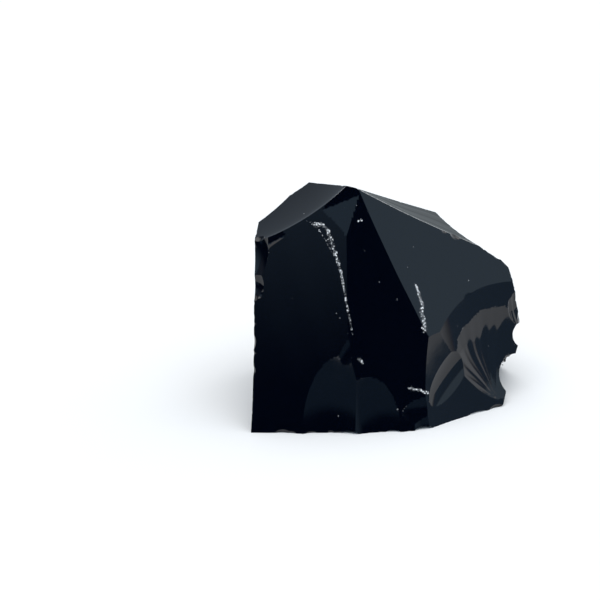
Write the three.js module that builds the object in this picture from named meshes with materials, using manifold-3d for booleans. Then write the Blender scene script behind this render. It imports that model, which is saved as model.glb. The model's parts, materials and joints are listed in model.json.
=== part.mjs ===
// Obsidian chunk: one piece of black volcanic glass, knocked off a larger block and never worked since.
//
// Glass has no grain, so it is bounded only by fractures. Each one is a smooth face that is flat, hollow
// like the inside of a shell, or gently bulged, and two of them always meet in a sharp edge. The chunk is
// made the way it formed: a raw block, from which each fracture in turn takes the glass that lies outside
// it, and each bite takes one chip off an edge.
//
// Millimetres, +Z up, the broad front face towards -Y. The chunk rests on its flat base at Z = 0, and the
// origin is at the bottom centre of its bounding box.
import * as THREE from "three";
import { mergeVertices } from "three/addons/utils/BufferGeometryUtils.js";
import Module from "manifold-3d";

const wasm = await Module();
wasm.setup();

const BLOCK = 120; // the raw block's side, larger than the chunk every way
const REACH = 130; // side of the waste that one fracture takes off
const MIDDLE = [1.3, -1.2]; // the middle of the finished chunk, in the block's own X and Y
const GRID = 5; // spacing of the points on a curved fracture
const BITE_SIDES = 28; // segments round a bite

// at: a point on the face. faces: the way it looks. runs: the way the crack ran over it.
// along, across: radii of the hollow along and across that run; a negative radius is a bulge.
const FRACTURES = [
  { name: "base", at: [0, 0, 0], faces: [0, 0, -1] },
  { name: "front_left", at: [-22.5, -14.6, 36.5], faces: [-8, -92, 37.5], along: -1500, across: 220 },
  { name: "front_right", at: [0, -13.8, 36.5], faces: [17, -90, 37.5], along: -2000, across: 400 },
  { name: "right_shoulder", at: [21.7, -7.5, 29.2], faces: [46, -74, 49], along: 2000, across: 1200 },
  { name: "top_left", at: [-22.4, 2.5, 57], faces: [-51, -13, 85], runs: [-1, 0, 0], along: 70, across: 120 },
  { name: "top_right", at: [10, 4, 52.7], faces: [50, 0, 87], runs: [1, 0, 0], along: 500, across: 300 },
  { name: "top_back", at: [-10.9, -3.6, 64.8], faces: [22, 40, 89], runs: [0, 1, 0] },
  { name: "left", at: [-36.8, -16, 30], faces: [-97, 20, -8], along: 900, across: 160 },
  { name: "left_back", at: [-33, 6.4, 52.5], faces: [-75, 80, 15], along: 150, across: 130 },
  { name: "back_left", at: [-24.5, 12.3, 58], faces: [-34, 92, 22], along: 150, across: 90 },
  { name: "back_top", at: [2, 17, 50], faces: [10, 78, 62], runs: [0.3, 0, -1], along: 90, across: 140 },
  { name: "back", at: [8, 22, 26], faces: [14, 98, 10], along: 240, across: 150 },
  { name: "back_low", at: [-14, 19, 10], faces: [-30, 92, -8], runs: [-1, 0, 0.2], along: 80, across: 120 },
  { name: "back_right", at: [32.6, 5.4, 41.1], faces: [67, 43, 60], along: 200, across: 200 },
  { name: "right_back", at: [37, 8, 25], faces: [85, 50, 14], along: 150, across: 120 },
  { name: "right_below", at: [26.9, -5.8, 22.9], faces: [55, -77, 33], along: 150, across: 112 },
  { name: "right_end", at: [40, 0, 26], faces: [98, -18, -2], along: 300 },
  { name: "right_foot", at: [39.7, -3, 14.4], faces: [95, -12, -28], along: 200 },
  { name: "low_right", at: [21, -18, 5], faces: [50, -80, 32.5], along: 300, across: 120 },
];

// at: a point on the edge that the bite takes. faces: the way the bite opens. width, depth: its size.
// runs, stretch: the way it is longer, and how many times.
const BITES = [
  { name: "back_bay", at: [23, 12, 45.3], faces: [67, 43, 60], width: 23, depth: 1.8 },
  { name: "low_left_bite", at: [-14.2, -29.3, 1], faces: [-8, -92, 36], width: 18.5, depth: 1.3, stretch: 2.1 },
  { name: "low_middle_bite", at: [-2.8, -28.8, 1], faces: [14, -91, 35], width: 18, depth: 1.1, stretch: 1.85 },
  { name: "low_end_bite", at: [12.3, -26.2, 1.5], faces: [18, -91, 33], width: 15, depth: 0.7 },
  { name: "rippled_bite", at: [27, -12.3, 11], faces: [61, -67, 45], width: 22.4, depth: 1.1 },
  {
    name: "shelf_bite",
    at: [17.6, -17.7, 11],
    faces: [53, -77, 33],
    runs: [6.9, 7.9, 8.7],
    width: 8,
    depth: 0.75,
    stretch: 2.1,
  },
  { name: "end_flake", at: [37.9, 0.3, 23.6], faces: [69, -62, 32], width: 12.5, depth: 1.2 },
  {
    name: "right_bay",
    at: [34.9, -3, 5.5],
    faces: [97, 25, -8],
    runs: [0, 1, -0.45],
    width: 10,
    depth: 2.4,
    stretch: 3,
  },
  {
    name: "end_bay",
    at: [39.7, 0.5, 17],
    faces: [97, 25, -8],
    runs: [0, 1, -0.45],
    width: 6,
    depth: 1.6,
    stretch: 3,
  },
  {
    name: "left_bite_high",
    at: [-35.4, -9.5, 44.5],
    faces: [-60, -78, 56],
    runs: [0, 0.4, 1],
    width: 6.5,
    depth: 0.6,
    stretch: 1.7,
  },
  { name: "left_bite_low", at: [-36, -12.8, 37.5], faces: [-60, -78, 50], width: 6, depth: 0.6 },
  { name: "left_scar", at: [-38, -2, 16], faces: [-97, 10, 5], width: 24, depth: 2.4 },
  { name: "back_bite", at: [-20, 24, 40], faces: [-40, 90, 10], width: 16, depth: 1.6 },
  { name: "right_back_scar", at: [34, 18, 12], faces: [80, 60, -6], width: 22, depth: 2.6 },
];

// The direction of a list of three numbers, as a unit vector.
const unit = (list) => new THREE.Vector3(...list).normalize();

// A closed geometry with merged vertices, as a solid.
function solid(geometry) {
  geometry.deleteAttribute("normal");
  geometry.deleteAttribute("uv");
  const merged = mergeVertices(geometry, 1e-4);
  return new wasm.Manifold(
    new wasm.Mesh({
      numProp: 3,
      vertProperties: merged.attributes.position.array,
      triVerts: new Uint32Array(merged.index.array),
    }),
  );
}

// The frame of a face: its middle at a point, Z the way it looks and X the way the crack ran.
function faceFrame({ at, faces, runs = [0, 0, -1] }) {
  const out = unit(faces);
  const across = out.clone().cross(unit(runs));
  if (across.lengthSq() < 1e-6) across.set(0, 1, 0);
  across.normalize();
  const along = across.clone().cross(out);
  return new THREE.Matrix4().makeBasis(along, across, out).setPosition(...at);
}

// The glass outside a fracture: a thick slab whose underside is the fracture's curved face.
function waste(fracture) {
  const { along = Infinity, across = Infinity } = fracture;
  const curved = Number.isFinite(along) || Number.isFinite(across);
  const steps = curved ? REACH / GRID : 1;
  const slab = new THREE.BoxGeometry(REACH, REACH, REACH, steps, steps, 1);
  slab.translate(0, 0, REACH / 2);
  const points = slab.attributes.position;
  for (let i = 0; i < points.count; i++) {
    const rise = points.getX(i) ** 2 / (2 * along) + points.getY(i) ** 2 / (2 * across);
    points.setZ(i, points.getZ(i) + rise);
  }
  return solid(slab.applyMatrix4(faceFrame(fracture)));
}

// One chip off an edge: a ball, stretched along its run, that reaches the bite's depth into the glass.
function chip(bite) {
  const { width, depth, stretch = 1 } = bite;
  const radius = width ** 2 / (8 * depth) + depth / 2;
  const ball = new THREE.SphereGeometry(radius, BITE_SIDES, BITE_SIDES / 2);
  ball.scale(stretch, 1, 1);
  ball.translate(0, 0, radius - depth);
  return solid(ball.applyMatrix4(faceFrame(bite)));
}

function knap() {
  let glass = solid(new THREE.BoxGeometry(BLOCK, BLOCK, BLOCK).translate(0, 0, BLOCK / 3));
  for (const fracture of FRACTURES) glass = glass.subtract(waste(fracture));
  for (const bite of BITES) glass = glass.subtract(chip(bite));
  return glass;
}

function geometryOf(glass) {
  const { vertProperties, triVerts } = glass.getMesh();
  const geometry = new THREE.BufferGeometry();
  geometry.setAttribute("position", new THREE.BufferAttribute(vertProperties, 3));
  geometry.setIndex(new THREE.BufferAttribute(triVerts, 1));
  geometry.translate(-MIDDLE[0], -MIDDLE[1], 0);
  geometry.computeVertexNormals();
  return geometry;
}

const obsidian = new THREE.MeshStandardMaterial({ color: 0x0b0d11, roughness: 0.12, metalness: 0 });

const chunk = new THREE.Mesh(geometryOf(knap()), obsidian);
chunk.name = "chunk";

const group = new THREE.Group();
group.add(chunk);

export default group;
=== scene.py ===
"""Obsidian chunk: the looks of one piece of black volcanic glass, as it was broken.

Glass has no grain, so the stone is bounded only by fractures. The script describes each one as a smooth
face with the faint waves that its crack left, and finds the stone as what lies inside all of them. The
same fractures and bites shape the CAD solid; the small chips, waves and crushed lines are made only here.

The stone is worked out in millimetres, in the raw block's own frame, and its mesh is made in metres in
the CAD frame.
"""

import json
import math

import bpy
import numpy as np
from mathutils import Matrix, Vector

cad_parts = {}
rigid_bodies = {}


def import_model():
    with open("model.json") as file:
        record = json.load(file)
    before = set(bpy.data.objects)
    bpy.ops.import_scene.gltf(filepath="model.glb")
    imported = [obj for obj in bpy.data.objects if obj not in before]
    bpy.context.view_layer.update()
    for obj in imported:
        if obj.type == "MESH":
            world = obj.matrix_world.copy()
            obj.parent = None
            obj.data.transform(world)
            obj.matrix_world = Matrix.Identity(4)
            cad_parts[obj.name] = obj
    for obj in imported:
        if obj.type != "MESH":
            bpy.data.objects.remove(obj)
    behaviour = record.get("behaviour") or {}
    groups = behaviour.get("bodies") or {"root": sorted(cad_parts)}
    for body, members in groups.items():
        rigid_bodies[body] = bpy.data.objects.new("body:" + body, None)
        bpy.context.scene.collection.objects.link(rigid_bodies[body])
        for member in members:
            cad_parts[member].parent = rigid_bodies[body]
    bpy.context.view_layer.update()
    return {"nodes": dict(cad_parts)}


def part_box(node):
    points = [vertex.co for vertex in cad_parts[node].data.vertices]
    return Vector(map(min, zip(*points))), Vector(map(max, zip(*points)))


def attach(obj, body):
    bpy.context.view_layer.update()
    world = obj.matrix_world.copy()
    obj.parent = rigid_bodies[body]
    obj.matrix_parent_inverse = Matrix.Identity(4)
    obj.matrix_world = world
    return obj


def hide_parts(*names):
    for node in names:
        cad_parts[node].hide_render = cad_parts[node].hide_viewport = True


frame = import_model()

MM = 0.001
SEED = 41
MIDDLE = np.array([1.3, -1.2, 0.0])  # the middle of the chunk, in the raw block's frame
CELL = 0.5  # spacing of the grid on which the stone's surface is found
MARGIN = 1.6  # room round the stone inside that grid
RELIEF_REACH = 1.2  # waves matter only this near to a face
HALVINGS = 12  # how often a grid step is halved to find where the surface crosses it
SETTLINGS = 3  # how often a point is moved onto the breaks that meet beside it
MOST_BREAKS = 3  # breaks that can meet in one cell
SAME_SLOPE = 0.12  # breaks that differ by less than this are taken as one when a point settles
LEAST_EDGE = 25  # degrees between two CAD faces that meet in a sharp edge
NOWHERE = 1e9  # farther than any point is from a break


# ---------------------------------------------------------------- the breaks

def unit(vector):
    vector = np.asarray(vector, float)
    return vector / np.linalg.norm(vector)


def face_frame(faces, runs):
    """The directions along the crack's run, across it and out of the stone, as the rows of a matrix."""
    out = unit(faces)
    across = np.cross(out, unit(runs))
    across = unit(across) if across @ across > 1e-6 else np.array([0.0, 1.0, 0.0])
    return np.array([np.cross(across, out), across, out])


class Sway:
    """The slow, faint waves of a broken face."""

    LENGTHS = ((26, 40), (15, 24), (9, 13))  # the shortest and longest of each kind of wave

    def __init__(self, random, height=0.03):
        self.waves = []
        for shortest, longest in self.LENGTHS:
            turn, phase = random.uniform(0, 2 * math.pi, 2)
            length = random.uniform(shortest, longest)
            heading = unit([math.cos(turn), math.sin(turn), 0.4 * math.cos(phase)])
            self.waves.append((heading * 2 * math.pi / length, phase, height * length / 40))

    def __call__(self, points):
        return sum(height * np.sin(points @ wave + phase) for wave, phase, height in self.waves)


class Rings:
    """Ripples round the point that was struck, fading where the crack ran out."""

    def __init__(self, struck, spacing, height, reach):
        self.struck = np.asarray(struck, float)
        self.spacing = spacing
        self.height = height
        self.reach = reach

    def __call__(self, points):
        away = np.linalg.norm(points - self.struck, axis=1)
        turn = 2 * math.pi * away / self.spacing + 0.6 * np.sin(points[:, 2] / 4)
        fade = np.clip(away / self.spacing - 1, 0, 1) * np.clip(2 - away / self.reach, 0, 1)
        return self.height * fade * np.sin(turn + 0.5 * np.sin(turn))


class Fan:
    """Ribs that spread from one point of a face, uneven as torn glass is."""

    def __init__(self, apex, faces, runs, ribs, height, reach, spread):
        self.apex = np.asarray(apex, float)
        self.frame = face_frame(faces, runs)
        self.ribs = ribs
        self.height = height
        self.reach = reach
        self.spread = spread

    def __call__(self, points):
        along, across, _ = self.frame @ (points - self.apex).T
        away = np.hypot(along, across)
        aside = np.arctan2(across, along)
        turn = aside * self.ribs + 0.5 * np.sin(away / 3)
        strength = np.clip(away / self.reach, 0, 1) * np.clip(2 - np.abs(aside) / self.spread, 0, 1)
        return self.height * strength * (np.sin(turn) + 0.4 * np.sin(2.3 * turn + 1))


class Lip:
    """A thin curl, where a face rises, or falls if the height is negative, before it meets another one."""

    def __init__(self, other, width, height):
        self.other = other
        self.width = width
        self.height = height

    def __call__(self, points):
        return -self.height * np.exp(np.minimum(self.other.smooth(points), 0) / self.width)


class Break:
    """Something taken off the block. Its value is positive where the glass is gone."""

    relief = ()

    def value(self, points):
        return self.smooth(points) + sum(waves(points) for waves in self.relief)


class Fracture(Break):
    """A broad face: everything beyond it is off the stone."""

    def __init__(self, at, faces, runs=(0, 0, -1), along=math.inf, across=math.inf):
        self.at = np.asarray(at, float)
        self.frame = face_frame(faces, runs)
        self.along = along
        self.across = across

    def smooth(self, points):
        along, across, out = self.frame @ (points - self.at).T
        return out - along**2 / (2 * self.along) - across**2 / (2 * self.across)


class Bite(Break):
    """A chip taken off: the inside of a ball, stretched along its run."""

    def __init__(self, at, faces, width, depth, runs=(0, 0, -1), stretch=1.0):
        self.radius = width**2 / (8 * depth) + depth / 2
        self.frame = face_frame(faces, runs)
        self.stretch = stretch
        self.centre = np.asarray(at, float) + self.frame[2] * (self.radius - depth)
        self.at = np.asarray(at, float)
        self.reach = 0.5 * width * stretch + depth

    def smooth(self, points):
        along, across, out = self.frame @ (points - self.centre).T
        return self.radius - np.sqrt((along / self.stretch) ** 2 + across**2 + out**2)


class Notch(Break):
    """A step: the glass taken from between two faces that meet in a crease."""

    def __init__(self, at, runs, upper, lower):
        crease = unit(runs)
        self.at = np.asarray(at, float)
        self.faces = [unit(unit(face) - crease * (unit(face) @ crease)) for face in (upper, lower)]

    def smooth(self, points):
        upper, lower = ((points - self.at) @ face for face in self.faces)
        return np.minimum(upper, lower)


FRACTURES = {
    "base": dict(at=(0, 0, 0), faces=(0, 0, -1)),
    "front_left": dict(at=(-22.5, -14.6, 36.5), faces=(-8, -92, 37.5), along=-1500, across=220),
    "front_right": dict(at=(0, -13.8, 36.5), faces=(17, -90, 37.5), along=-2000, across=400),
    "right_shoulder": dict(at=(21.7, -7.5, 29.2), faces=(46, -74, 49), along=2000, across=1200),
    "top_left": dict(at=(-22.4, 2.5, 57), faces=(-51, -13, 85), runs=(-1, 0, 0), along=70, across=120),
    "top_right": dict(at=(10, 4, 52.7), faces=(50, 0, 87), runs=(1, 0, 0), along=500, across=300),
    "top_back": dict(at=(-10.9, -3.6, 64.8), faces=(22, 40, 89), runs=(0, 1, 0)),
    "left": dict(at=(-36.8, -16, 30), faces=(-97, 20, -8), along=900, across=160),
    "left_back": dict(at=(-33, 6.4, 52.5), faces=(-75, 80, 15), along=150, across=130),
    "back_left": dict(at=(-24.5, 12.3, 58), faces=(-34, 92, 22), along=150, across=90),
    "back_top": dict(at=(2, 17, 50), faces=(10, 78, 62), runs=(0.3, 0, -1), along=90, across=140),
    "back": dict(at=(8, 22, 26), faces=(14, 98, 10), along=240, across=150),
    "back_low": dict(at=(-14, 19, 10), faces=(-30, 92, -8), runs=(-1, 0, 0.2), along=80, across=120),
    "back_right": dict(at=(32.6, 5.4, 41.1), faces=(67, 43, 60), along=200, across=200),
    "right_back": dict(at=(37, 8, 25), faces=(85, 50, 14), along=150, across=120),
    "right_below": dict(at=(26.9, -5.8, 22.9), faces=(55, -77, 33), along=150, across=112),
    "right_end": dict(at=(40, 0, 26), faces=(98, -18, -2), along=300),
    "right_foot": dict(at=(39.7, -3, 14.4), faces=(95, -12, -28), along=200),
    "low_right": dict(at=(21, -18, 5), faces=(50, -80, 32.5), along=300, across=120),
}

BITES = {
    "back_bay": dict(at=(23, 12, 45.3), faces=(67, 43, 60), width=23, depth=1.8),
    "low_left_bite": dict(at=(-14.2, -29.3, 1), faces=(-8, -92, 36), width=18.5, depth=1.3, stretch=2.1),
    "low_middle_bite": dict(at=(-2.8, -28.8, 1), faces=(14, -91, 35), width=18, depth=1.1, stretch=1.85),
    "low_end_bite": dict(at=(12.3, -26.2, 1.5), faces=(18, -91, 33), width=15, depth=0.7),
    "rippled_bite": dict(at=(27, -12.3, 11), faces=(61, -67, 45), width=22.4, depth=1.1),
    "shelf_bite": dict(at=(17.6, -17.7, 11), faces=(53, -77, 33), runs=(6.9, 7.9, 8.7), width=8,
                       depth=0.75, stretch=2.1),
    "end_flake": dict(at=(37.9, 0.3, 23.6), faces=(69, -62, 32), width=12.5, depth=1.2),
    "right_bay": dict(at=(34.9, -3, 5.5), faces=(97, 25, -8), runs=(0, 1, -0.45), width=10, depth=2.4,
                      stretch=3),
    "end_bay": dict(at=(39.7, 0.5, 17), faces=(97, 25, -8), runs=(0, 1, -0.45), width=6, depth=1.6,
                    stretch=3),
    "left_bite_high": dict(at=(-35.4, -9.5, 44.5), faces=(-60, -78, 56), runs=(0, 0.4, 1), width=6.5,
                           depth=0.6, stretch=1.7),
    "left_bite_low": dict(at=(-36, -12.8, 37.5), faces=(-60, -78, 50), width=6, depth=0.6),
    "left_scar": dict(at=(-38, -2, 16), faces=(-97, 10, 5), width=24, depth=2.4),
    "back_bite": dict(at=(-20, 24, 40), faces=(-40, 90, 10), width=16, depth=1.6),
    "right_back_scar": dict(at=(34, 18, 12), faces=(80, 60, -6), width=22, depth=2.6),
}

# Marks too small for the CAD solid: a spike at the top of a low bite, a faint scoop and a nick.
SMALL_BITES = {
    "left_spike": dict(at=(-12.8, -23.4, 16.9), faces=(-4, -92, 36), width=3, depth=0.12,
                       runs=(0.3, 0.35, 0.9), stretch=3.2),
    "end_scoop": dict(at=(9.6, -24.5, 6.2), faces=(17, -91, 32), runs=(1, 0.19, 0), width=9, depth=0.3,
                      stretch=1.6),
    "scoop_nick": dict(at=(24.4, -4.5, 31.2), faces=(50, -75, 41), width=4.4, depth=0.16),
}

# Two steps: one just under the peak, dark above its crease and light below, and one along the rim.
NOTCHES = {
    "peak_step": dict(at=(-8.6, -4.5, 61.9), runs=(9.3, 1.4, 3.5), upper=(4, -96, 28), lower=(-4, -89, 46)),
    "rim_step": dict(at=(-32.9, -8.3, 49.2), runs=(3.6, 0.3, 1.75), upper=(-8, -93, 31),
                     lower=(-8, -70, 66)),
}

RELIEF = {
    "rippled_bite": [Fan(apex=(30.5, -9.5, 1), faces=(61, -69, 40), runs=(-7, 1, 20), ribs=17,
                         height=0.04, reach=12, spread=0.45)],
    "end_flake": [Fan(apex=(38, 3, 44), faces=(85, -50, 12), runs=(0, 0, -1), ribs=60, height=0.04,
                      reach=12, spread=0.5)],
    "top_right": [Fan(apex=(-14, -5, 66), faces=(50, 0, 87), runs=(24, 6, -14), ribs=52, height=0.018,
                      reach=22, spread=0.4)],
    "back_bay": [Rings(struck=(14, 20, 52), spacing=2.4, height=0.06, reach=16)],
    "back": [Rings(struck=(10, 22, 50), spacing=4.2, height=0.05, reach=34)],
    "left_scar": [Rings(struck=(-38, -12, 22), spacing=2.2, height=0.05, reach=14)],
    "right_back_scar": [Rings(struck=(38, 14, 22), spacing=2.6, height=0.06, reach=14)],
}

# Faces that curl along the edge of another one, and the curl's width and height.
LIPS = [("top_left", "front_left", 1.0, 0.22), ("top_right", "right_shoulder", 0.8, 0.18),
        ("right_shoulder", "right_end", 0.5, -0.12)]


def breaks_of(random):
    """Every fracture, bite and notch, with its relief, in a fixed order."""
    breaks = {}
    tables = ((Fracture, FRACTURES), (Bite, BITES), (Bite, SMALL_BITES), (Notch, NOTCHES))
    for kind, table in tables:
        for name, shape in table.items():
            item = kind(**shape)
            if name != "base":
                item.relief = [Sway(random)] + RELIEF.get(name, [])
            breaks[name] = item
    for name, other, width, height in LIPS:
        breaks[name].relief.append(Lip(breaks[other], width, height))
    return list(breaks.values())


# ---------------------------------------------------------------- small chips along the edges

def cad_edges(node, least_angle):
    """The CAD solid's sharp outer edges: their ends in block millimetres, and both faces' normals."""
    mesh = frame["nodes"][node].data
    points = np.array([v.co[:] for v in mesh.vertices]) / MM + MIDDLE
    beside = {}
    for polygon in mesh.polygons:
        corners = list(polygon.vertices)
        side = (np.array(polygon.normal), points[corners].mean(axis=0))
        for a, b in zip(corners, corners[1:] + corners[:1]):
            ends = sorted(tuple(np.round(points[corner], 3)) for corner in (a, b))
            beside.setdefault(tuple(ends), []).append(side)
    sharp = []
    for (a, b), sides in sorted(beside.items(), key=lambda item: item[0]):
        if len(sides) != 2:
            continue
        (first, _), (second, middle) = sides
        turns = first @ second < math.cos(math.radians(least_angle))
        if turns and (middle - a) @ first < 0:
            sharp.append((np.array(a), np.array(b), first, second))
    return sharp


FOOT = 4  # the chips of the foot reach up to this height
UNDERSIDE = 1  # an edge below this height is the edge of the base
BROAD = 1.7  # how many times broader the chips along the base are
BROADEST = 4.5  # no other chip is broader


def chip_density(point):
    """Chips per millimetre of edge: many round the foot and both ends, few on the clean ridges."""
    x, y, z = point
    if z < FOOT:
        return 0.22
    if x > 30 or x < -33:
        return 0.2
    if y < 4 and z > 15:
        return 0.025
    return 0.1


def edge_chips(random, edges):
    chips = []
    for a, b, first, second in edges:
        length = np.linalg.norm(b - a)
        count = random.poisson(length * chip_density((a + b) / 2))
        for _ in range(count):
            at = a + (b - a) * random.uniform()
            lean = random.uniform(0.2, 0.8)
            faces = unit(first * lean + second * (1 - lean))
            width = min(0.9 + random.exponential(1.1), BROADEST) * (BROAD if at[2] < UNDERSIDE else 1)
            depth = width * random.uniform(0.1, 0.17)
            chips.append(Bite(at, faces, width, depth, runs=unit(b - a), stretch=random.uniform(0.8, 1.6)))
    return chips


# ---------------------------------------------------------------- the stone's surface

class Grid:
    """A regular grid of points round the stone, in block millimetres."""

    def __init__(self, low, high, cell):
        self.cell = cell
        self.axes = [np.arange(a - MARGIN, b + MARGIN + cell, cell) for a, b in zip(low, high)]
        self.shape = tuple(len(axis) for axis in self.axes)
        self.corner = np.array([axis[0] for axis in self.axes])

    def points(self, part=(slice(None),) * 3):
        axes = [axis[s] for axis, s in zip(self.axes, part)]
        return np.stack(np.meshgrid(*axes, indexing="ij"), axis=-1).reshape(-1, 3)

    def block(self, centre, reach):
        """The part of the grid within reach of a point, as three slices."""
        part = []
        for axis, middle in zip(self.axes, centre):
            first, last = np.searchsorted(axis, [middle - reach, middle + reach])
            part.append(slice(int(first), int(last)))
        return tuple(part)


def fill(grid, breaks, chips):
    """The field on the grid, positive off the stone, and which break is nearest there."""
    points = grid.points()
    field = np.full(len(points), -NOWHERE)
    nearest = np.zeros(len(points), np.int32)
    for number, item in enumerate(breaks):
        value = item.smooth(points)
        close = np.flatnonzero(np.abs(value) < RELIEF_REACH)
        value[close] = item.value(points[close])
        larger = value > field
        field[larger] = value[larger]
        nearest[larger] = number
    field = field.reshape(grid.shape)
    nearest = nearest.reshape(grid.shape)
    for number, item in enumerate(chips, start=len(breaks)):
        part = grid.block(item.at, item.reach + grid.cell)
        value = item.value(grid.points(part)).reshape(field[part].shape)
        larger = value > field[part]
        field[part][larger] = value[larger]
        nearest[part][larger] = number
    return field, nearest


def each(breaks, numbers, points, work, size=()):
    """work(break, its points) for every point, where numbers says which break each point belongs to."""
    result = np.zeros((len(points), *size))
    order = np.argsort(numbers, kind="stable")
    found, starts = np.unique(numbers[order], return_index=True)
    for number, group in zip(found, np.split(order, starts[1:])):
        if number >= 0:
            result[group] = work(breaks[number], points[group])
    return result


def value_of(item, points):
    return item.value(points)


def slope_of(item, points, step=0.02):
    """The gradient of a break's field, by central differences."""
    slope = np.zeros((len(points), 3))
    for axis in range(3):
        shift = np.zeros(3)
        shift[axis] = step
        slope[:, axis] = (item.value(points + shift) - item.value(points - shift)) / (2 * step)
    return slope


class Surface:
    """The stone's surface as a mesh: one point in each grid cell that it passes through."""

    def __init__(self, grid, breaks, field, nearest):
        self.grid = grid
        self.breaks = breaks
        self.find_crossings(field, nearest)
        self.place_points()
        self.make_faces()

    def find_crossings(self, field, nearest):
        """Where the grid's own lines pass through the surface, and the break that each one meets."""
        found = [self.crossed_steps(field, nearest, axis) for axis in range(3)]
        self.start, self.axis, first, second, self.leaving = (np.concatenate(part) for part in zip(*found))
        origin = self.grid.corner + self.start * self.grid.cell
        step = np.eye(3)[self.axis] * self.grid.cell
        self.point = origin + step * self.crossed_at(origin, step, first, second)[:, None]
        nearer = self.values(first, self.point) >= self.values(second, self.point)
        self.id = np.where(nearer, first, second)

    @staticmethod
    def crossed_steps(field, nearest, axis):
        """The grid's steps along one axis that cross the surface.

        For each one: its start, its axis, the nearest break at either end, and whether it leaves the stone.
        """
        low = tuple(slice(0, -1) if number == axis else slice(None) for number in range(3))
        high = tuple(slice(1, None) if number == axis else slice(None) for number in range(3))
        inside = field[low] < 0
        crossed = inside != (field[high] < 0)
        start = np.argwhere(crossed)
        axes = np.full(len(start), axis)
        return start, axes, nearest[low][crossed], nearest[high][crossed], inside[crossed]

    def values(self, numbers, points):
        return each(self.breaks, numbers, points, value_of)

    def crossed_at(self, origin, step, first, second):
        """How far along each step the surface lies, as a part of the step."""
        low = np.zeros(len(origin))
        high = np.ones(len(origin))
        for _ in range(HALVINGS):
            middle = (low + high) / 2
            points = origin + step * middle[:, None]
            inside = np.maximum(self.values(first, points), self.values(second, points)) < 0
            beyond = inside == self.leaving
            low = np.where(beyond, middle, low)
            high = np.where(beyond, high, middle)
        return (low + high) / 2

    def place_points(self):
        """One point for each cell that the surface passes through, moved onto the cell's breaks."""
        cells, corner = np.unique(self.cells_around(), return_inverse=True)
        self.corner = corner.reshape(-1, 4)
        self.ids = self.breaks_in(len(cells))
        low = self.grid.corner + np.array(np.unravel_index(cells, self.grid.shape)).T * self.grid.cell
        self.points = self.settle(self.middles(len(cells)), low)

    def cells_around(self):
        """The four cells round each crossing, in turn, as numbers."""
        around = []
        rows = np.arange(len(self.axis))
        for turn in ((0, 0), (-1, 0), (-1, -1), (0, -1)):
            offset = np.zeros((len(self.axis), 3), int)
            offset[rows, (self.axis + 1) % 3] = turn[0]
            offset[rows, (self.axis + 2) % 3] = turn[1]
            around.append(np.ravel_multi_index(tuple((self.start + offset).T), self.grid.shape))
        return np.stack(around, axis=1)

    def middles(self, count):
        """The mean of the crossings round each cell."""
        cells = self.corner.ravel()
        sums = [np.bincount(cells, np.repeat(column, 4), count) for column in self.point.T]
        return np.stack(sums, axis=1) / np.bincount(cells, minlength=count)[:, None]

    def breaks_in(self, count):
        """The breaks that meet in each cell, and -1 where there are fewer than the most."""
        pairs = np.unique(np.stack([self.corner.ravel(), np.repeat(self.id, 4)], axis=1), axis=0)
        first = np.searchsorted(pairs[:, 0], np.arange(count))
        rank = np.arange(len(pairs)) - first[pairs[:, 0]]
        keep = rank < MOST_BREAKS
        ids = np.full((count, MOST_BREAKS), -1)
        ids[pairs[keep, 0], rank[keep]] = pairs[keep, 1]
        return ids

    def settle(self, points, low):
        """Points moved onto all the breaks of their cell at once, without leaving the cell."""
        for _ in range(SETTLINGS):
            values = np.stack([self.values(ids, points) for ids in self.ids.T], 1)
            slopes = np.stack([each(self.breaks, ids, points, slope_of, (3,)) for ids in self.ids.T], 1)
            step = np.linalg.pinv(slopes, rcond=SAME_SLOPE) @ values[..., None]
            points = np.clip(points - step[..., 0], low, low + self.grid.cell)
        return points

    def make_faces(self):
        """Two triangles round each crossing, split so that neither cuts off a ridge."""
        quads = self.corner.copy()
        quads[~self.leaving] = quads[~self.leaving][:, ::-1]
        p = self.points[quads]
        ids = self.ids[quads].reshape(len(quads), -1)
        one, _ = self.least(ids, (p[:, 0] + p[:, 2]) / 2)
        two, _ = self.least(ids, (p[:, 1] + p[:, 3]) / 2)
        split = (one <= two)[:, None]
        first = np.where(split, quads[:, [0, 1, 2]], quads[:, [0, 1, 3]])
        second = np.where(split, quads[:, [0, 2, 3]], quads[:, [1, 2, 3]])
        self.triangles = np.concatenate([first, second])
        centre = self.points[self.triangles].mean(axis=1)
        ids = self.ids[self.triangles].reshape(len(self.triangles), -1)
        self.face_id = self.least(ids, centre)[1]

    def least(self, ids, points):
        """For each point, how near the nearest of its breaks is, and which one that is."""
        best = np.full(len(points), NOWHERE)
        best_id = np.zeros(len(points), int)
        for column in ids.T:
            value = np.abs(self.values(column, points))
            value[column < 0] = NOWHERE
            nearer = value < best - 1e-9
            best[nearer] = value[nearer]
            best_id[nearer] = column[nearer]
        return best, best_id


def stone_mesh(surface):
    """The surface as a Blender mesh in metres, each face with the normals of the break that made it."""
    mesh = bpy.data.meshes.new("obsidian")
    points = (surface.points - MIDDLE) * MM
    mesh.from_pydata(points.tolist(), [], surface.triangles.tolist())
    mesh.shade_smooth()
    corners = surface.triangles.ravel()
    ids = np.repeat(surface.face_id, 3)
    normals = each(surface.breaks, ids, surface.points[corners], slope_of, (3,))
    normals /= np.linalg.norm(normals, axis=1, keepdims=True)
    mesh.normals_split_custom_set(normals.tolist())
    return mesh


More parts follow.
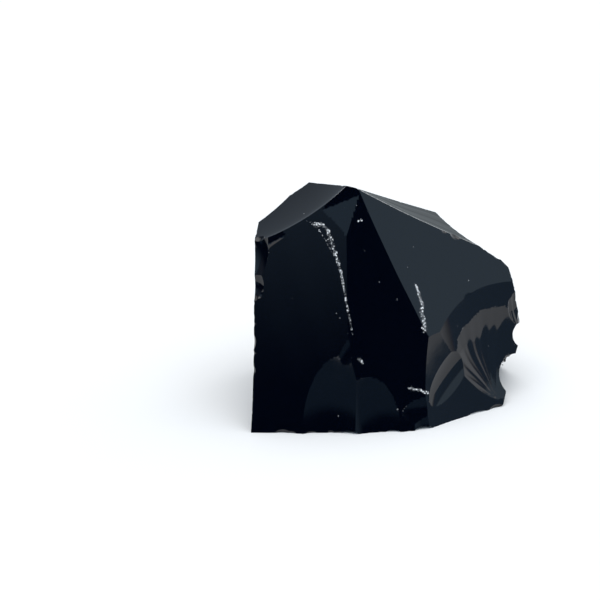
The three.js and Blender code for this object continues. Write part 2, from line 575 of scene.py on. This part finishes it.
def make_stone():
    random = np.random.default_rng(SEED)
    breaks = breaks_of(random)
    chips = edge_chips(random, cad_edges("chunk", LEAST_EDGE))
    low, high = (np.array(corner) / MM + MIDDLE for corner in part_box("chunk"))
    grid = Grid(low, high, CELL)
    field, nearest = fill(grid, breaks, chips)
    surface = Surface(grid, breaks + chips, field, nearest)
    mesh = stone_mesh(surface)
    write_attribute(mesh, "bruise", bruise_distance(surface.points))
    # The ridge mask places the painted edge glints of the material.
    write_attribute(mesh, "ridge", (surface.ids[:, 1] >= 0).astype(float))
    stone = bpy.data.objects.new("obsidian_chunk", mesh)
    bpy.context.scene.collection.objects.link(stone)
    print("stone: triangles", len(surface.triangles), "chips", len(chips))
    return stone


# ---------------------------------------------------------------- bruises

# Crushed lines, where a blow bruised the glass white: the face they lie on, their course, and half their
# width at the start and at the end.
BRUISES = [
    dict(faces=(-8, -92, 38), course=[(-20, -7, 54.6), (-17.8, -7.5, 54.8), (-16.2, -8.3, 53.2),
                                      (-15.6, -9, 51.4), (-14.5, -10.5, 48.3)], wide=0.8, narrow=0.65),
    dict(faces=(-2, -92, 38), course=[(-14.5, -10.5, 48.3), (-13.4, -12, 45.3), (-12.2, -14, 40.7),
                                      (-10.2, -18, 30.6), (-9.3, -19.7, 26.5)], wide=0.65, narrow=0.25),
    dict(faces=(46, -74, 49), course=[(8.5, -10.2, 37.6), (10.6, -12.5, 32.4), (10.3, -14, 30),
                                      (11.2, -16, 26.3)], wide=0.5, narrow=0.95),
    dict(faces=(-8, -92, 38), course=[(-22, -6.7, 55.6), (-20.3, -7.3, 54.6), (-18.4, -8.2, 52.9),
                                      (-16.7, -9.3, 50.6), (-15.3, -10.7, 47.8)], wide=0.2, narrow=0.2),
    dict(faces=(17, -91, 38), course=[(7, -22.9, 11.4), (9.6, -22.8, 10.8), (12.2, -22.7, 9.6)],
         wide=0.8, narrow=0.5),
    dict(faces=(17, -91, 38), course=[(-7.3, -22, 20), (-6.5, -22.3, 19)], wide=0.8, narrow=0.5),
    dict(faces=(17, -91, 38), course=[(-8.1, -7.4, 55.4), (-6.9, -7, 56)], wide=0.3, narrow=0.45),
    dict(faces=(17, -91, 38), course=[(-6.2, -10.1, 48.2), (-6, -10.1, 48.1)], wide=0.3, narrow=0.3),
    dict(faces=(17, -91, 38), course=[(3.2, -14, 34.7), (3.4, -14, 34.5)], wide=0.4, narrow=0.3),
]

UNBRUISED = 3.0  # half-widths from a bruise at which the glass is whole
BRUISE_DEPTH = 2.5  # a bruise marks only faces this near to it


def bruise_distance(points):
    """How far each point is from the nearest bruise, in half-widths of that bruise."""
    nearest = np.full(len(points), UNBRUISED)
    for bruise in BRUISES:
        out = unit(bruise["faces"])
        course = np.array(bruise["course"])
        widths = np.linspace(bruise["wide"], bruise["narrow"], len(course))
        for a, b, wide, narrow in zip(course, course[1:], widths, widths[1:]):
            run = (b - a) / ((b - a) @ (b - a))
            part = np.clip((points - a) @ run, 0, 1)
            gap = points - (a + part[:, None] * (b - a))
            deep = gap @ out
            gap -= deep[:, None] * out
            ratio = np.linalg.norm(gap, axis=1) / (wide + (narrow - wide) * part)
            ratio[np.abs(deep) > BRUISE_DEPTH] = UNBRUISED
            nearest = np.minimum(nearest, ratio)
    return nearest


def write_attribute(mesh, name, values):
    attribute = mesh.attributes.new(name, "FLOAT", "POINT")
    attribute.data.foreach_set("value", np.asarray(values, np.float32))


# ---------------------------------------------------------------- materials

def new_material(name):
    """A material, its graph and its shader."""
    material = bpy.data.materials.new(name)
    material.use_nodes = True
    graph = Graph(material.node_tree)
    return material, graph, graph.nodes["Principled BSDF"]


class Graph:
    """Short ways to add the nodes of a material or world."""

    def __init__(self, tree):
        self.nodes = tree.nodes
        self.links = tree.links

    def node(self, kind, inputs=(), **settings):
        node = self.nodes.new("ShaderNode" + kind)
        for name, value in settings.items():
            setattr(node, name, value)
        for socket, value in dict(inputs).items():
            self.put(node.inputs[socket], value)
        return node

    def put(self, socket, value):
        if isinstance(value, bpy.types.NodeSocket):
            self.links.new(value, socket)
        else:
            socket.default_value = value

    def math(self, operation, *values):
        return self.node("Math", dict(enumerate(values)), operation=operation).outputs[0]

    def vector(self, operation, *values):
        return self.node("VectorMath", dict(enumerate(values)), operation=operation)

    def ramp(self, value, low, high, to_low=0.0, to_high=1.0, kind="SMOOTHSTEP"):
        inputs = {"Value": value, "From Min": low, "From Max": high, "To Min": to_low, "To Max": to_high}
        return self.node("MapRange", inputs, interpolation_type=kind).outputs["Result"]

    def noise(self, where, scale, detail=2.0):
        inputs = {"Vector": where, "Scale": scale, "Detail": detail}
        return self.node("TexNoise", inputs).outputs["Fac"]

    def attribute(self, name):
        return self.node("Attribute", attribute_name=name).outputs["Fac"]

    def cells(self, where, scale, channel):
        """For random cells: the distance from the middle of the cell, and its own random number."""
        cells = self.node("TexVoronoi", {"Vector": where, "Scale": scale})
        luck = self.vector("DOT_PRODUCT", cells.outputs["Color"], channel).outputs["Value"]
        return cells.outputs["Distance"], luck


RED = (1, 0, 0)  # a random colour's red is one random number, and its green is another
GREEN = (0, 1, 0)
BLACK = (0.0004, 0.0012, 0.0045, 1)  # the glass itself
FROST_AND_GLINT = (0.92, 0.94, 0.96, 1)  # crushed glass and dust, and the painted glints on the sharp edges
CRUMBS = 2000.0  # crushed crumbs per metre
SPECKS = 210.0  # cells per metre, each with one speck of dust
BLOTCHES = 160.0  # patches of duller gloss per metre
GRAIN = 2600.0  # grains of crushed glass per metre
UNEVEN = 420.0  # faint bumps of the glass per metre


def crushed(graph, where, grain):
    """How white the bruises are: bright crumbs on a faint smear, fewer away from the crushed line."""
    away = graph.attribute("bruise")
    distance, luck = graph.cells(where, CRUMBS, RED)
    crumb = graph.ramp(distance, 0.35, 0.6, 1.0, 0.0)
    present = graph.ramp(graph.math("MULTIPLY_ADD", away, -0.8, luck), 0.05, 0.2)
    smear = graph.ramp(graph.math("MULTIPLY_ADD", away, -0.3, grain), 0.3, 0.5, to_high=0.22)
    return graph.math("MAXIMUM", graph.math("MULTIPLY", crumb, present), smear)


def chipped_and_glinting(graph, grain, blotches):
    """How white the sharp edges are, here and there: partly crushed glass, partly a painted glint along the
    ridges.
    """
    ridge = graph.math("MULTIPLY", graph.attribute("ridge"), 0.16)
    wear_and_glint = graph.math("ADD", ridge, graph.math("MULTIPLY", grain, 0.5))
    return graph.ramp(graph.math("MULTIPLY_ADD", blotches, 0.5, wear_and_glint), 0.77, 0.88, to_high=0.35)


def dusty(graph, where):
    """Single specks of dust, no two of one size."""
    distance, luck = graph.cells(where, SPECKS, GREEN)
    return graph.ramp(graph.math("MULTIPLY_ADD", luck, -0.05, distance), -0.01, 0.02, 0.3, 0.0)


def obsidian():
    """Black glass, nearly a mirror, with crushed white glass in its bruises, and white on its sharpest edges
    that is partly crushed glass and partly a painted glint.
    """
    material, graph, shader = new_material("obsidian")
    where = graph.node("TexCoord").outputs["Object"]
    grain = graph.noise(where, GRAIN, 3)
    blotches = graph.noise(where, BLOTCHES)
    # The sharp edges' white adds a painted glint to their crushed glass.
    white = graph.math("MAXIMUM", crushed(graph, where, grain), chipped_and_glinting(graph, grain, blotches))
    white = graph.math("MAXIMUM", white, dusty(graph, where))

    colour = graph.node("Mix", data_type="RGBA")
    graph.put(colour.inputs["Factor"], white)
    graph.put(colour.inputs["A"], BLACK)
    graph.put(colour.inputs["B"], FROST_AND_GLINT)
    graph.put(shader.inputs["Base Color"], colour.outputs["Result"])
    polish = graph.ramp(blotches, 0.35, 0.7, 0.035, 0.09, "LINEAR")
    graph.put(shader.inputs["Roughness"], graph.math("MULTIPLY_ADD", white, 0.4, polish))
    graph.put(shader.inputs["IOR"], 1.49)

    uneven = graph.math("MULTIPLY", graph.noise(where, UNEVEN), 0.03)
    relief = graph.math("MULTIPLY_ADD", white, grain, uneven)
    bump = graph.node("Bump", {"Strength": 0.5, "Distance": 0.0002, "Height": relief})
    graph.put(shader.inputs["Normal"], bump.outputs["Normal"])
    return material


def pale_floor():
    material, graph, shader = new_material("pale_floor")
    graph.put(shader.inputs["Base Color"], (0.85, 0.86, 0.87, 1))
    graph.put(shader.inputs["Roughness"], 1.0)
    graph.put(shader.inputs["Specular IOR Level"], 0.0)
    return material


# ---------------------------------------------------------------- stage, light and camera

FLOOR_SIDE = 8.0
CAMERA_ELEVATION = 24.0  # degrees above level
CAMERA_DISTANCE = 0.45
CAMERA_AIM = Vector((-0.0253, -0.0108, 0.0337))
LENS = 95.8  # focal length in millimetres
SENSOR = 36.0

# The studio as the glass mirrors it. Each panel: its middle and half its width in azimuth (0 is the front,
# +90 the right), its lowest and highest elevation, how soft those two edges are, all in degrees, and its
# colour. One that is 180 or more to each side goes all the way round, and one that reaches 90 has no top edge.
PANELS = {
    "overhead": dict(azimuth=0, half=200, low=50, high=100, soft=8, colour=(2.3, 2.3, 2.3)),
    "front_low": dict(azimuth=0, half=70, low=-9, high=9.5, soft=1.5, colour=(0.09, 0.15, 0.22)),
    "front_left": dict(azimuth=-37, half=41, low=26.5, high=60, soft=13.5, colour=(0.38, 0.56, 0.74)),
    "right": dict(azimuth=65, half=33, low=19, high=62, soft=3, colour=(0.55, 0.74, 0.90)),
    "right_end": dict(azimuth=113, half=28, low=-9, high=62, soft=4, colour=(1.25, 1.3, 1.35)),
    "right_low": dict(azimuth=64, half=32, low=-9, high=20, soft=3, colour=(0.19, 0.29, 0.40)),
    "back_right": dict(azimuth=158, half=30, low=-9, high=45, soft=6, colour=(0.48, 0.54, 0.57)),
    "back_left": dict(azimuth=-150, half=32, low=-9, high=50, soft=6, colour=(0.28, 0.33, 0.38)),
    "left": dict(azimuth=-98, half=20, low=20, high=55, soft=8, colour=(0.16, 0.19, 0.24)),
    "left_high": dict(azimuth=-118, half=28, low=40, high=100, soft=5, colour=(1.5, 1.5, 1.5)),
}
SIDE_FADE = 4.0  # how soft the panels' sides are, in degrees
GLOOM = (0.006, 0.010, 0.016)  # between the panels


def sine(degrees):
    return math.sin(math.radians(degrees))


def direction(azimuth, elevation):
    a, e = math.radians(azimuth), math.radians(elevation)
    return Vector((math.sin(a) * math.cos(e), -math.cos(a) * math.cos(e), math.sin(e)))


def soft_step(graph, value, angle, soft, ends=(0.0, 1.0)):
    """A soft step, where the angle whose sine is the value passes the given one."""
    return graph.ramp(value, sine(angle - soft), sine(angle + soft), *ends)


def panel_glow(graph, height, level, panel):
    """One panel's light, from the sine of the elevation and the level direction that is looked in."""
    soft = panel["soft"]
    window = soft_step(graph, height, panel["low"], soft)
    if panel["high"] < 90:
        top = soft_step(graph, height, panel["high"], soft, (1.0, 0.0))
        window = graph.math("MULTIPLY", window, top)
    if panel["half"] < 180:
        turned = graph.vector("DOT_PRODUCT", level, direction(panel["azimuth"], 0)).outputs["Value"]
        sides = soft_step(graph, turned, 90 - panel["half"], SIDE_FADE)
        window = graph.math("MULTIPLY", window, sides)
    glow = graph.vector("SCALE", panel["colour"])
    graph.put(glow.inputs["Scale"], window)
    return glow.outputs[0]


def studio_light():
    world = bpy.data.worlds.new("studio")
    bpy.context.scene.world = world
    world.use_nodes = True
    graph = Graph(world.node_tree)
    seen = graph.node("TexCoord").outputs["Generated"]
    level = graph.vector("NORMALIZE", graph.vector("MULTIPLY", seen, (1, 1, 0)).outputs[0]).outputs[0]
    height = graph.vector("DOT_PRODUCT", seen, (0, 0, 1)).outputs["Value"]
    light = GLOOM
    for panel in PANELS.values():
        light = graph.vector("MAXIMUM", panel_glow(graph, height, level, panel), light).outputs[0]
    graph.put(graph.nodes["Background"].inputs["Color"], light)


def floor():
    half = FLOOR_SIDE / 2
    mesh = bpy.data.meshes.new("floor")
    corners = [(-half, -half, 0), (half, -half, 0), (half, half, 0), (-half, half, 0)]
    mesh.from_pydata(corners, [], [(0, 1, 2, 3)])
    mesh.materials.append(pale_floor())
    plane = bpy.data.objects.new("floor", mesh)
    bpy.context.scene.collection.objects.link(plane)


def camera():
    data = bpy.data.cameras.new("camera")
    data.lens = LENS
    data.sensor_width = SENSOR
    data.clip_start = 0.01
    eye = bpy.data.objects.new("camera", data)
    eye.location = CAMERA_AIM + direction(0, CAMERA_ELEVATION) * CAMERA_DISTANCE
    eye.rotation_euler = (math.radians(90 - CAMERA_ELEVATION), 0, 0)
    bpy.context.scene.collection.objects.link(eye)
    bpy.context.scene.camera = eye


stone = make_stone()
stone.data.materials.append(obsidian())
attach(stone, "root")
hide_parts("chunk")

floor()
studio_light()
camera()
bpy.context.scene.view_settings.view_transform = "Standard"
